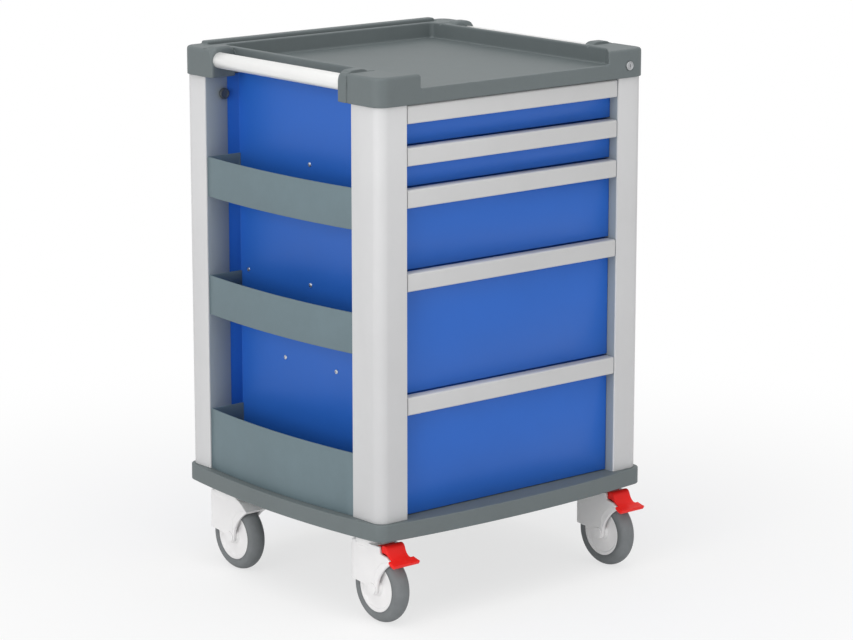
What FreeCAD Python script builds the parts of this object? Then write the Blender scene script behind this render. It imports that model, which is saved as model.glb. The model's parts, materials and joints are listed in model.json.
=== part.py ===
import FreeCAD, Part
import math
import os

# Hospital treatment cart with five drawers, three side bins, a moulded worktop and four swivel castors.
# Millimetres. +Z up, +X right, -Y towards the drawer fronts. The origin is on the floor, at the middle of the
# overall box, and every shape is first built about the middle of the four columns.

# ---- driving dimensions -------------------------------------------------------------------------------------
COLUMN_SPAN_X = 600.0        # outside faces of the columns, left to right
COLUMN_SPAN_Y = 543.0        # outside faces of the columns, front to back
DRAWER_UNIT = 71.0           # height of one drawer unit
DRAWER_UNITS = (1, 1, 2, 3, 3)   # from the top drawer down
WHEEL_DIAMETER = 125.0
CASTOR_ROOM = 30.0           # from the top of the wheel to the underside of the base
BASE_THICKNESS = 30.0

FRONT_COLUMN = (60.0, 73.0)  # X width, Y depth
REAR_COLUMN = (48.0, 60.0)
COLUMN_WALL = 2.5
COLUMN_CORNER = 20.0         # radius of the outer corner

BASE_PROUD = (2.5, 5.0)      # how far the base stands out past the columns, in X and Y
BASE_BOW = (22.5, 20.0)      # how far its sides and its front bulge at mid length
BASE_CORNER = 22.0
BASE_EDGE = 2.0

SHEET = 1.2                  # thickness of the folded sheet parts
SIDE_RECESS = 74.0           # from the columns' outside face in to the side panel
PANEL_RISE = 9.7             # how far the side panel runs up behind the handle tube
PANEL_PLAY = 0.3             # round the raised part of the side panel
PANEL_FOOT = 36.0            # flange of the side panel behind the front column
BACK_PANEL_INSET = 9.0       # from the rear face of the columns
BACK_PANEL_RETURN = 15.0

TOP_PROUD = 3.5              # how far the worktop stands out past the columns
TOP_CORNER = 24.0
TRAY_FLOOR = 21.0            # height of the tray floor above the worktop's underside
FRONT_LIP = 26.0             # height of the front lip
BLOCK_HEIGHT = 49.0          # height of the corner blocks
RIM_HEIGHT = 50.0            # height of the rim round the tray
UPSTAND_HEIGHT = 55.0        # height of the raised strip at the back
UPSTAND_DEPTH = 17.0
UPSTAND_INSET = 3.0          # from the worktop's rear face
UPSTAND_END = 41.5           # from each end of the worktop to the raised strip
REAR_GROOVE = (8.0, 9.0)     # width and depth of the groove in front of the raised strip
RIM_INSET = 63.5             # from the worktop's side to the inner face of the side rim
RIM_WIDTH = 10.0
REAR_RIM = 40.0              # depth of the whole rear rim
BLOCK_INSET = 91.5           # from the worktop's side to the inner end of the front block
BLOCK_SPLAY = 35.0           # how far back from the front face the block's inner end starts to splay
LIP_WIDTH = 12.0
FRONT_BLOCK_DEPTH = 110.0
REAR_BLOCK_DEPTH = 89.0
TOP_EDGE = 5.0               # rounding of the top edges
FLOOR_EDGE = 2.5             # rounding where the tray floor meets its walls

HANDLE_DIAMETER = 28.0
HANDLE_WALL = 1.5
HANDLE_RISE = 30.5           # handle axis above the worktop's underside
HOOD_SHELL = 9.5             # from the tube's surface to the top of the hood
HOOD_LENGTH = 24.0
HOOD_WALL = 2.8
HOOD_GAP = 0.7               # between tube and hood
CREASE = (2.0, 2.0)          # width and depth of the groove between hood and block
HANDLE_SEAT = 20.0           # length of tube held in each block

BIN_TOP_UNITS = (8.0, 5.0)   # tops of the two hung bins, in units above the base
BIN_HEIGHT = 71.0
LOW_BIN_HEIGHT = 111.0
BIN_WALL = 3.0
BIN_BOW = 13.0
BIN_INSET = 3.0              # ends of the bin wall behind the outside face of the columns
BIN_BACK = 30.0              # height of the low back wall

RAIL_HEIGHT = 31.0
RAIL_DEPTH = 19.5
RAIL_SET_BACK = 1.0          # rail face behind the column face
RAIL_EDGE = 3.5
FRONT_GAP = 1.5              # gap above and below each drawer front
FRONT_SIDE_GAP = 1.5         # each side, between front and column
RAIL_SIDE_GAP = 3.0
FRONT_DEPTH = 14.0
TRAY_REAR_GAP = 52.0         # between tray and back panel
TRAY_LIFT = 6.0              # tray underside above its unit's lower line
TRAY_SHORT = 22.0            # how much lower the tray is than its unit

SLIDE_WIDTH = 13.3           # from the side panel to the tray
SLIDE_HEIGHT = 32.0
SLIDE_CENTRE = 26.0          # slide axis above its unit's lower line
SLIDE_STEEL = 1.2
SLIDE_GAP = 0.5              # between two nested slide members
SLIDE_FRONT_GAP = 4.0        # behind the drawer front
SLIDE_REAR_GAP = 6.0         # in front of the tray's rear face
SLIDE_MIDDLE_SHORT = 20.0    # how much shorter the middle member is

SCREW_HEAD = 4.0             # radius
SCREW_PROUD = 1.6
SCREW_RISE = 4.5             # screws above their unit line
SCREW_PLACES = ((202.5, 8), (202.5, 5), (22.5, 5), (128.5, 3), (273.5, 3))   # ahead of rear column, unit line

KNOB_RADIUS = 10.0
KNOB_PROUD = 7.0
KNOB_DROP = 33.0             # below the worktop
KNOB_EDGE = 9.0              # from the free edge of the rear column to the knob's axis

LOCK_INSET = 41.0            # lock axis from the worktop's right face
LOCK_RISE = 21.0             # lock axis above the worktop's underside
LOCK_RADIUS = 8.0
LOCK_BARREL = 5.5
LOCK_RUN = 0.06              # running clearance of the barrel
LOCK_LENGTH = 30.0
LOCK_PROUD = 1.5
CAM_THROW = 4.5
CAM_PIN = 1.5
LOCK_BAR = (14.0, 2.5)       # X width, Y thickness
LOCK_BAR_FOOT = 25.0         # bar's lower end above the base
CAM_SLOT_PLAY = 1.1

SWIVEL_INSET_X = 37.0        # swivel axis from the columns' outside faces
SWIVEL_INSET_Y = 67.5
CASTOR_TRAIL = 28.0
TYRE_WIDTH = 30.0
RIM_RADIUS = 43.0
HUB_RADIUS = 12.0
AXLE_RADIUS = 4.0
AXLE_RUN = 0.08
AXLE_CAP = 10.0
FORK_GAP = 17.0              # half the space between the fork's cheeks
FORK_CHEEK = 6.0
WHEEL_CLEAR = 3.5            # between tyre and fork
FORK_SKIN = 2.5              # thinnest wall behind the wheel
FORK_CORNER = 20.0
HEAD_RADIUS = 28.0
HEAD_TOP_GAP = 0.4
MOUNT_PLATE = 3.0
KINGPIN_RADIUS = 8.0
KINGPIN_RUN = 0.05

PEDAL_FORWARD = 40.0         # pedal pivot ahead of the swivel axis
PEDAL_ABOVE = 9.5            # pedal pivot above the top of the wheel
PEDAL_TOE = 5.5              # toe tip ahead of the wheel
PEDAL_PIN_SKIN = 2.0         # fork wall left outside each end of the pin
PEDAL_PIN = 3.0
PEDAL_HUB = 6.0
PEDAL_HALF = 20.0
TOE_HALF = 28.0
PEDAL_SIDE_GAP = 0.5
SHOE_HALF = 8.0
SHOE_GAP = 0.5

# ---- worked-out places --------------------------------------------------------------------------------------
HALF_X = COLUMN_SPAN_X / 2
HALF_Y = COLUMN_SPAN_Y / 2
BASE_BOTTOM = WHEEL_DIAMETER + CASTOR_ROOM
BASE_TOP = BASE_BOTTOM + BASE_THICKNESS
TOP_BOTTOM = BASE_TOP + DRAWER_UNIT * sum(DRAWER_UNITS)
TOP_HALF = HALF_X + TOP_PROUD
TOP_FRONT = -HALF_Y - TOP_PROUD
TOP_REAR = HALF_Y + TOP_PROUD
SIDE_PANEL_X = HALF_X - SIDE_RECESS
PANEL_INNER = SIDE_PANEL_X - SHEET
FRONT_COLUMN_BACK = -HALF_Y + FRONT_COLUMN[1]
REAR_COLUMN_FRONT = HALF_Y - REAR_COLUMN[1]
FRONT_OPENING = HALF_X - FRONT_COLUMN[0]
REAR_OPENING = HALF_X - REAR_COLUMN[0]
DRAWER_FACE = -HALF_Y + RAIL_SET_BACK + RAIL_DEPTH
TRAY_FRONT = DRAWER_FACE + FRONT_DEPTH
TRAY_REAR = HALF_Y - BACK_PANEL_INSET - SHEET - TRAY_REAR_GAP
TRAY_HALF = PANEL_INNER - SLIDE_WIDTH
SLIDE_FRONT = TRAY_FRONT + SLIDE_FRONT_GAP
SLIDE_REAR = TRAY_REAR - SLIDE_REAR_GAP
HANDLE_Z = TOP_BOTTOM + HANDLE_RISE
HANDLE_RADIUS = HANDLE_DIAMETER / 2
HANDLE_X = TOP_HALF - HOOD_WALL - HOOD_GAP - HANDLE_RADIUS
HOOD_RADIUS = HANDLE_RADIUS + HOOD_SHELL
RIM_INNER_X = TOP_HALF - RIM_INSET
BLOCK_INNER_X = TOP_HALF - BLOCK_INSET
RECESS_X = RIM_INNER_X + RIM_WIDTH
RECESS_FRONT = TOP_FRONT + FRONT_BLOCK_DEPTH
RECESS_REAR = TOP_REAR - REAR_BLOCK_DEPTH
SWIVEL_X = HALF_X - SWIVEL_INSET_X
SWIVEL_Y = HALF_Y - SWIVEL_INSET_Y
WHEEL_RADIUS = WHEEL_DIAMETER / 2
TIRE_CLEAR = WHEEL_RADIUS + WHEEL_CLEAR
FORK_HALF = FORK_GAP + FORK_CHEEK
HEAD_TOP = BASE_BOTTOM - MOUNT_PLATE - HEAD_TOP_GAP
LOCK_X = TOP_HALF - LOCK_INSET
LOCK_Z = TOP_BOTTOM + LOCK_RISE
PEDAL_PIVOT = (PEDAL_FORWARD, WHEEL_DIAMETER + PEDAL_ABOVE)   # ahead of the swivel axis, above the floor
PEDAL_REACH = CASTOR_TRAIL + WHEEL_RADIUS + PEDAL_TOE
FRONT_MOST = -SWIVEL_Y - PEDAL_REACH
REAR_MOST = HALF_Y + BASE_PROUD[1]
SHIFT_Y = -(FRONT_MOST + REAR_MOST) / 2   # puts the origin under the middle of the overall box

X_AXIS = FreeCAD.Vector(1, 0, 0)
Y_AXIS = FreeCAD.Vector(0, 1, 0)
Z_AXIS = FreeCAD.Vector(0, 0, 1)


# ---- small tools --------------------------------------------------------------------------------------------
def box(x0, x1, y0, y1, z0, z1):
    return Part.makeBox(x1 - x0, y1 - y0, z1 - z0, FreeCAD.Vector(x0, y0, z0))


def rod(radius, start, end):
    """A cylinder from one point to another."""
    a = FreeCAD.Vector(*start)
    b = FreeCAD.Vector(*end)
    return Part.makeCylinder(radius, (b - a).Length, a, b - a)


def mirrored(shape):
    return shape.mirror(FreeCAD.Vector(0, 0, 0), X_AXIS)


def prism_z(edges, z0, z1):
    face = Part.Face(Part.Wire(Part.__sortEdges__(edges)))
    solid = face.extrude(Z_AXIS * (z1 - z0))
    solid.translate(Z_AXIS * z0)
    return solid


def polygon(points):
    """Closed straight edges through plan points (x, y)."""
    corners = [FreeCAD.Vector(x, y, 0) for x, y in points]
    return [Part.LineSegment(a, b).toShape() for a, b in zip(corners, corners[1:] + corners[:1])]


def upright_edges(shape, places, reach=1.0):
    """Vertical edges of a shape that stand at the given plan points."""
    found = []
    for edge in shape.Edges:
        low, high = edge.BoundBox.ZMin, edge.BoundBox.ZMax
        if high - low < 1e-3 or edge.BoundBox.XLength > 1e-3 or edge.BoundBox.YLength > 1e-3:
            continue
        centre = edge.BoundBox.Center
        if any(abs(centre.x - x) < reach and abs(centre.y - y) < reach for x, y in places):
            found.append(edge)
    return found


def level_edges(shape, z):
    """Edges that lie in a horizontal plane."""
    return [e for e in shape.Edges if abs(e.BoundBox.ZMin - z) < 1e-3 and abs(e.BoundBox.ZMax - z) < 1e-3]


def side_prism(edges, half_width):
    """A profile drawn in the side plane (forward, up) and extruded across the object, centred on X = 0."""
    face = Part.Face(Part.Wire(Part.__sortEdges__(edges)))
    solid = face.extrude(X_AXIS * (2 * half_width))
    solid.translate(X_AXIS * -half_width)
    return solid


def side_point(forward, up):
    return FreeCAD.Vector(0, -forward, up)


def side_line(a, b):
    return Part.LineSegment(side_point(*a), side_point(*b)).toShape()


def side_arc(a, b, c):
    return Part.Arc(side_point(*a), side_point(*b), side_point(*c)).toShape()


def side_curve(points):
    curve = Part.BSplineCurve()
    curve.interpolate([side_point(*p) for p in points])
    return curve.toShape()


def save(name, *solids):
    """Writes one node, moved from the columns' middle to the row's origin."""
    shape = solids[0] if len(solids) == 1 else Part.makeCompound(list(solids))
    shape = shape.copy()
    shape.translate(Y_AXIS * SHIFT_Y)
    shape.exportStep(os.path.join("parts", name + ".step"))


# ---- base, columns and panels -------------------------------------------------------------------------------
def base_platform():
    """Slab whose sides and front are bowed; its rear edge is straight."""
    x = HALF_X + BASE_PROUD[0]
    y = HALF_Y + BASE_PROUD[1]
    corners = [(-x, -y), (x, -y), (x, y), (-x, y)]
    front_left, front_right, rear_right, rear_left = [FreeCAD.Vector(cx, cy, 0) for cx, cy in corners]
    front = Part.Arc(front_left, FreeCAD.Vector(0, -y - BASE_BOW[1], 0), front_right).toShape()
    right = Part.Arc(front_right, FreeCAD.Vector(x + BASE_BOW[0], 0, 0), rear_right).toShape()
    back = Part.LineSegment(rear_right, rear_left).toShape()
    left = Part.Arc(rear_left, FreeCAD.Vector(-x - BASE_BOW[0], 0, 0), front_left).toShape()
    slab = prism_z([front, right, back, left], BASE_BOTTOM, BASE_TOP)
    slab = slab.makeFillet(BASE_CORNER, upright_edges(slab, corners))
    return slab.makeFillet(BASE_EDGE, level_edges(slab, BASE_TOP) + level_edges(slab, BASE_BOTTOM))


def column(x_out, y_out, size):
    """A hollow extruded column with one large rounded corner; two signs say which corner of the cart."""
    width, depth = size
    x0, y0 = x_out * HALF_X, y_out * HALF_Y
    x1, y1 = x0 - x_out * width, y0 - y_out * depth

    def tube(inset, radius):
        xs = sorted((x0 - x_out * inset, x1 + x_out * inset))
        ys = sorted((y0 - y_out * inset, y1 + y_out * inset))
        body = box(xs[0], xs[1], ys[0], ys[1], BASE_TOP, TOP_BOTTOM)
        corner = (x0 - x_out * inset, y0 - y_out * inset)
        return body.makeFillet(radius, upright_edges(body, [corner]))

    return tube(0.0, COLUMN_CORNER).cut(tube(COLUMN_WALL, COLUMN_CORNER - COLUMN_WALL))


def side_panel():
    """Right-hand folded side panel: a web that runs up into the worktop, with a flange at each end."""
    web = box(PANEL_INNER, SIDE_PANEL_X, FRONT_COLUMN_BACK, REAR_COLUMN_FRONT + SHEET, BASE_TOP,
              TOP_BOTTOM + PANEL_RISE)
    foot = box(PANEL_INNER, SIDE_PANEL_X + PANEL_FOOT, FRONT_COLUMN_BACK, FRONT_COLUMN_BACK + SHEET,
               BASE_TOP, TOP_BOTTOM)
    strip = box(PANEL_INNER, REAR_OPENING, REAR_COLUMN_FRONT, REAR_COLUMN_FRONT + SHEET, BASE_TOP, TOP_BOTTOM)
    return web.fuse([foot, strip]).removeSplitter()


def back_panel():
    y1 = HALF_Y - BACK_PANEL_INSET
    sheet = box(-REAR_OPENING, REAR_OPENING, y1 - SHEET, y1, BASE_TOP, TOP_BOTTOM)
    returns = [
        box(-REAR_OPENING, -REAR_OPENING + SHEET, y1 - BACK_PANEL_RETURN, y1, BASE_TOP, TOP_BOTTOM),
        box(REAR_OPENING - SHEET, REAR_OPENING, y1 - BACK_PANEL_RETURN, y1, BASE_TOP, TOP_BOTTOM),
    ]
    return sheet.fuse(returns).removeSplitter()


def panel_screws():
    """Round-headed screws that hold the slides and bins, on both side panels."""
    screws = []
    for ahead, line in SCREW_PLACES:
        y = REAR_COLUMN_FRONT - ahead
        z = BASE_TOP + DRAWER_UNIT * line + SCREW_RISE
        head = Part.makeSphere(SCREW_HEAD, FreeCAD.Vector(SIDE_PANEL_X + SCREW_PROUD - SCREW_HEAD, y, z))
        keep = box(SIDE_PANEL_X, SIDE_PANEL_X + SCREW_PROUD, y - SCREW_HEAD, y + SCREW_HEAD,
                   z - SCREW_HEAD, z + SCREW_HEAD)
        head = head.common(keep)
        screws += [head, mirrored(head)]
    return screws


def column_knob():
    """Dark knob on the inner face of the left rear column."""
    x = -REAR_OPENING - KNOB_EDGE
    z = TOP_BOTTOM - KNOB_DROP
    knob = rod(KNOB_RADIUS, (x, REAR_COLUMN_FRONT, z), (x, REAR_COLUMN_FRONT - KNOB_PROUD, z))
    rim = [e for e in knob.Edges if abs(e.BoundBox.YMax - (REAR_COLUMN_FRONT - KNOB_PROUD)) < 1e-3]
    return knob.makeFillet(2.0, rim)


# ---- worktop and handles ------------------------------------------------------------------------------------
def worktop_blank():
    slab = box(-TOP_HALF, TOP_HALF, TOP_FRONT, TOP_REAR, TOP_BOTTOM, TOP_BOTTOM + RIM_HEIGHT)
    places = [(x, y) for x in (-TOP_HALF, TOP_HALF) for y in (TOP_FRONT, TOP_REAR)]
    slab = slab.makeFillet(TOP_CORNER, upright_edges(slab, places))
    return slab.makeFillet(TOP_EDGE, level_edges(slab, TOP_BOTTOM + RIM_HEIGHT))


def tray_cavity():
    """The tray's hollow, straight-sided with splayed front corners, and the opening over the front lip."""
    rear = TOP_REAR - REAR_RIM
    lip_back = TOP_FRONT + LIP_WIDTH
    splay = TOP_FRONT + BLOCK_SPLAY
    slope = (RIM_INNER_X - BLOCK_INNER_X) / BLOCK_SPLAY
    at_lip = BLOCK_INNER_X + slope * LIP_WIDTH
    plan = [(-RIM_INNER_X, rear), (RIM_INNER_X, rear), (RIM_INNER_X, splay), (at_lip, lip_back),
            (-at_lip, lip_back), (-RIM_INNER_X, splay)]
    hollow = prism_z(polygon(plan), TOP_BOTTOM + TRAY_FLOOR, TOP_BOTTOM + RIM_HEIGHT + 1)
    hollow = hollow.makeFillet(8.0, upright_edges(hollow, plan[:2]))
    hollow = hollow.makeFillet(16.0, upright_edges(hollow, [plan[2], plan[-1]]))
    hollow = hollow.makeFillet(FLOOR_EDGE, level_edges(hollow, TOP_BOTTOM + TRAY_FLOOR))
    ahead = BLOCK_INNER_X - slope
    mouth = prism_z(polygon([(-ahead, TOP_FRONT - 1), (ahead, TOP_FRONT - 1), (at_lip, lip_back),
                             (at_lip, lip_back + 2), (-at_lip, lip_back + 2), (-at_lip, lip_back)]),
                    TOP_BOTTOM + FRONT_LIP, TOP_BOTTOM + RIM_HEIGHT + 1)
    return hollow, mouth


def hood(y0, y1):
    """Right-hand arched hood over a tube end, open at its underside and towards the middle of the tube."""
    centre = TOP_HALF - HOOD_RADIUS
    arch = rod(HOOD_RADIUS, (centre, y0, HANDLE_Z), (centre, y1, HANDLE_Z))
    legs = box(centre - HOOD_RADIUS, TOP_HALF, y0, y1, TOP_BOTTOM, HANDLE_Z)
    return arch.fuse(legs).removeSplitter()


def hood_hollow(y0, y1):
    reach = TOP_HALF - HOOD_WALL - HANDLE_X
    bore = rod(reach, (HANDLE_X, y0, HANDLE_Z), (HANDLE_X, y1, HANDLE_Z))
    drop = box(HANDLE_X - reach, HANDLE_X + reach, y0, y1, TOP_BOTTOM - 1, HANDLE_Z)
    return bore.fuse(drop)


def crease(y):
    """Right-hand shallow groove over the rim and down the outer face, on the block side of a hood."""
    width, depth = CREASE
    y0, y1 = sorted((y, y + math.copysign(width, y)))
    rim_top = TOP_BOTTOM + RIM_HEIGHT
    over = box(RIM_INNER_X - 1, TOP_HALF + 1, y0, y1, rim_top - depth, HANDLE_Z + HOOD_RADIUS + 1)
    down = box(TOP_HALF - depth, TOP_HALF + 1, y0, y1, TOP_BOTTOM - 1, rim_top)
    return over.fuse(down)


def worktop_rear():
    """The raised strip along the back, and the groove in front of it."""
    half = TOP_HALF - UPSTAND_END
    y1 = TOP_REAR - UPSTAND_INSET
    y0 = y1 - UPSTAND_DEPTH
    top = TOP_BOTTOM + UPSTAND_HEIGHT
    strip = box(-half, half, y0, y1, TOP_BOTTOM + TRAY_FLOOR, top)
    strip = strip.makeFillet(2.5, level_edges(strip, top))
    width, depth = REAR_GROOVE
    rim_top = TOP_BOTTOM + RIM_HEIGHT
    groove = box(-half, half, y0 - width, y0, rim_top - depth, rim_top + 1)
    return strip, groove


def worktop():
    body = worktop_blank()
    hollow, mouth = tray_cavity()
    strip, groove = worktop_rear()
    under, over = TOP_BOTTOM - 1, TOP_BOTTOM + RIM_HEIGHT + 1
    recess = box(RECESS_X, TOP_HALF + 1, RECESS_FRONT, RECESS_REAR, under, over)
    panel_room = box(PANEL_INNER - PANEL_PLAY, RECESS_X + 1, FRONT_COLUMN_BACK - PANEL_PLAY,
                     REAR_COLUMN_FRONT + SHEET + PANEL_PLAY, under, TOP_BOTTOM + PANEL_RISE + PANEL_PLAY)
    body = body.cut([hollow, mouth, groove, recess, mirrored(recess)])
    hoods, hollows, sockets, creases = [], [], [], []
    for y0, y1, seat in ((RECESS_FRONT - HOOD_LENGTH, RECESS_FRONT, -HANDLE_SEAT),
                         (RECESS_REAR, RECESS_REAR + HOOD_LENGTH, HANDLE_SEAT)):
        hoods.append(hood(y0, y1))
        hollows.append(hood_hollow(y0, y1))
        deep = y0 if seat < 0 else y1
        sockets.append(rod(HANDLE_RADIUS, (HANDLE_X, deep, HANDLE_Z), (HANDLE_X, deep + seat, HANDLE_Z)))
        creases.append(crease(deep))
    body = body.fuse([strip] + hoods + [mirrored(h) for h in hoods])
    cuts = hollows + sockets + creases + [panel_room]
    body = body.cut(cuts + [mirrored(c) for c in cuts])
    lock_bore = rod(LOCK_RADIUS, (LOCK_X, TOP_FRONT - 1, LOCK_Z), (LOCK_X, TOP_FRONT + LOCK_LENGTH, LOCK_Z))
    cam_room = box(LOCK_X - 12, LOCK_X + 12, TOP_FRONT + LOCK_LENGTH, TOP_FRONT + LOCK_LENGTH + 18,
                   TOP_BOTTOM - 1, LOCK_Z + 16)
    return body.cut([lock_bore, cam_room]).removeSplitter()


def handle_tube():
    y0 = RECESS_FRONT - HOOD_LENGTH - HANDLE_SEAT
    y1 = RECESS_REAR + HOOD_LENGTH + HANDLE_SEAT
    outer = rod(HANDLE_RADIUS, (HANDLE_X, y0, HANDLE_Z), (HANDLE_X, y1, HANDLE_Z))
    inner = rod(HANDLE_RADIUS - HANDLE_WALL, (HANDLE_X, y0, HANDLE_Z), (HANDLE_X, y1, HANDLE_Z))
    return outer.cut(inner)


# ---- side bins ----------------------------------------------------------------------------------------------
def bin_outline(inset):
    """Plan outline of a left-hand bin: straight back and ends, bowed outer wall."""
    x_back = -SIDE_PANEL_X - inset
    x_out = -HALF_X + BIN_INSET + inset
    y0 = FRONT_COLUMN_BACK + SHEET + inset
    y1 = REAR_COLUMN_FRONT - inset
    back = Part.LineSegment(FreeCAD.Vector(x_back, y1, 0), FreeCAD.Vector(x_back, y0, 0)).toShape()
    near = Part.LineSegment(FreeCAD.Vector(x_back, y0, 0), FreeCAD.Vector(x_out, y0, 0)).toShape()
    bow = Part.Arc(FreeCAD.Vector(x_out, y0, 0), FreeCAD.Vector(x_out - BIN_BOW, (y0 + y1) / 2, 0),
                   FreeCAD.Vector(x_out, y1, 0)).toShape()
    far = Part.LineSegment(FreeCAD.Vector(x_out, y1, 0), FreeCAD.Vector(x_back, y1, 0)).toShape()
    return [back, near, bow, far]


def side_bin(bottom, height):
    outer = prism_z(bin_outline(0.0), bottom, bottom + height)
    inner = prism_z(bin_outline(BIN_WALL), bottom + BIN_WALL, bottom + height + 1)
    low_back = box(-SIDE_PANEL_X - BIN_WALL - 1, -SIDE_PANEL_X + 1, FRONT_COLUMN_BACK + SHEET + BIN_WALL,
                   REAR_COLUMN_FRONT - BIN_WALL, bottom + BIN_BACK, bottom + height + 1)
    return outer.cut([inner, low_back])


# ---- drawers ------------------------------------------------------------------------------------------------
def unit_spans():
    """Lower and upper line of each drawer, from the top drawer down."""
    spans, top = [], TOP_BOTTOM
    for units in DRAWER_UNITS:
        spans.append((top - units * DRAWER_UNIT, top))
        top -= units * DRAWER_UNIT
    return spans


def drawer_rail(low, high):
    half = FRONT_OPENING - RAIL_SIDE_GAP
    top = high - FRONT_GAP
    rail = box(-half, half, DRAWER_FACE - RAIL_DEPTH, DRAWER_FACE, top - RAIL_HEIGHT, top)
    nose = [e for e in rail.Edges if abs(e.BoundBox.YMax - (DRAWER_FACE - RAIL_DEPTH)) < 1e-3
            and e.BoundBox.XLength > half]
    return rail.makeFillet(RAIL_EDGE, nose)


def drawer_front(low, high):
    """Folded sheet front: a face with returned edges, open at the back."""
    half = FRONT_OPENING - FRONT_SIDE_GAP
    z0, z1 = low + FRONT_GAP, high - FRONT_GAP
    outer = box(-half, half, DRAWER_FACE, TRAY_FRONT, z0, z1)
    inner = box(-half + SHEET, half - SHEET, DRAWER_FACE + SHEET, TRAY_FRONT + 1, z0 + SHEET, z1 - SHEET)
    return outer.cut(inner)


def drawer_tray(low, high):
    z0 = low + TRAY_LIFT
    z1 = high - TRAY_SHORT + TRAY_LIFT
    y0 = DRAWER_FACE + SHEET     # on the inner face of the drawer front
    outer = box(-TRAY_HALF, TRAY_HALF, y0, TRAY_REAR, z0, z1)
    inner = box(-TRAY_HALF + SHEET, TRAY_HALF - SHEET, y0 + SHEET, TRAY_REAR - SHEET, z0 + SHEET, z1 + 1)
    return outer.cut(inner)


def channel(x_web, x_tip, z, half_height, y0, y1):
    """A C channel on the right-hand side: its web is at x_web and its two flanges reach x_tip."""
    inward = -1 if x_tip < x_web else 1
    xs = sorted((x_web, x_tip))
    outer = box(xs[0], xs[1], y0, y1, z - half_height, z + half_height)
    ws = sorted((x_web + inward * SLIDE_STEEL, x_tip + inward))
    inner = box(ws[0], ws[1], y0 - 1, y1 + 1, z - half_height + SLIDE_STEEL, z + half_height - SLIDE_STEEL)
    return outer.cut(inner)


def slide_members(low):
    """Outer, middle and inner member of one telescopic slide, each as a right-hand and a left-hand solid."""
    z = low + SLIDE_CENTRE
    step = SLIDE_STEEL + SLIDE_GAP
    half = SLIDE_HEIGHT / 2
    outer = channel(PANEL_INNER, PANEL_INNER - SLIDE_WIDTH + 3.5, z, half, SLIDE_FRONT, SLIDE_REAR)
    x_middle = PANEL_INNER - step
    middle = channel(x_middle, TRAY_HALF + 4.5, z, half - step, SLIDE_FRONT, SLIDE_REAR - SLIDE_MIDDLE_SHORT)
    x_inner = x_middle - step
    inner = channel(TRAY_HALF, x_inner, z, half - 2 * step, SLIDE_FRONT, SLIDE_REAR)
    return [(s, mirrored(s)) for s in (outer, middle, inner)]


# ---- lock ---------------------------------------------------------------------------------------------------
def lock_housing():
    y0, y1 = TOP_FRONT - LOCK_PROUD, TOP_FRONT + LOCK_LENGTH
    ring = rod(LOCK_RADIUS, (LOCK_X, y0, LOCK_Z), (LOCK_X, y1, LOCK_Z))
    return ring.cut(rod(LOCK_BARREL + LOCK_RUN, (LOCK_X, y0, LOCK_Z), (LOCK_X, y1, LOCK_Z)))


def lock_barrel():
    y0 = TOP_FRONT - LOCK_PROUD + 0.4
    y1 = TOP_FRONT + LOCK_LENGTH + 1
    body = rod(LOCK_BARREL, (LOCK_X, y0, LOCK_Z), (LOCK_X, y1, LOCK_Z))
    key = box(LOCK_X - 0.7, LOCK_X + 0.7, y0 - 1, y0 + 8, LOCK_Z - 3.2, LOCK_Z + 3.2)
    x_pin = LOCK_X + CAM_THROW - CAM_PIN / 2
    pin = rod(CAM_PIN, (x_pin, y1, LOCK_Z), (x_pin, y1 + 6, LOCK_Z))
    return body.cut(key).fuse(pin)


def lock_bar():
    """Flat bar inside the right front column. The cam pin lifts it by its cross slot."""
    y0 = TOP_FRONT + LOCK_LENGTH + 2.5
    width, thick = LOCK_BAR
    bar = box(LOCK_X - width / 2, LOCK_X + width / 2, y0, y0 + thick, BASE_TOP + LOCK_BAR_FOOT, LOCK_Z + 7)
    half = CAM_PIN + CAM_SLOT_PLAY
    slot = box(LOCK_X - 1.5 - half, LOCK_X + CAM_THROW + half - 1.3, y0 - 1, y0 + thick + 1, LOCK_Z - half,
               LOCK_Z + half)
    return bar.cut(slot)


# ---- castors ------------------------------------------------------------------------------------------------
def castor_mount():
    """Fixed plate and kingpin, about the swivel axis."""
    plate = rod(HEAD_RADIUS - 2, (0, 0, BASE_BOTTOM - MOUNT_PLATE), (0, 0, BASE_BOTTOM))
    pin = rod(KINGPIN_RADIUS, (0, 0, PEDAL_PIVOT[1] + 4), (0, 0, BASE_BOTTOM - MOUNT_PLATE))
    return plate.fuse(pin)


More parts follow.
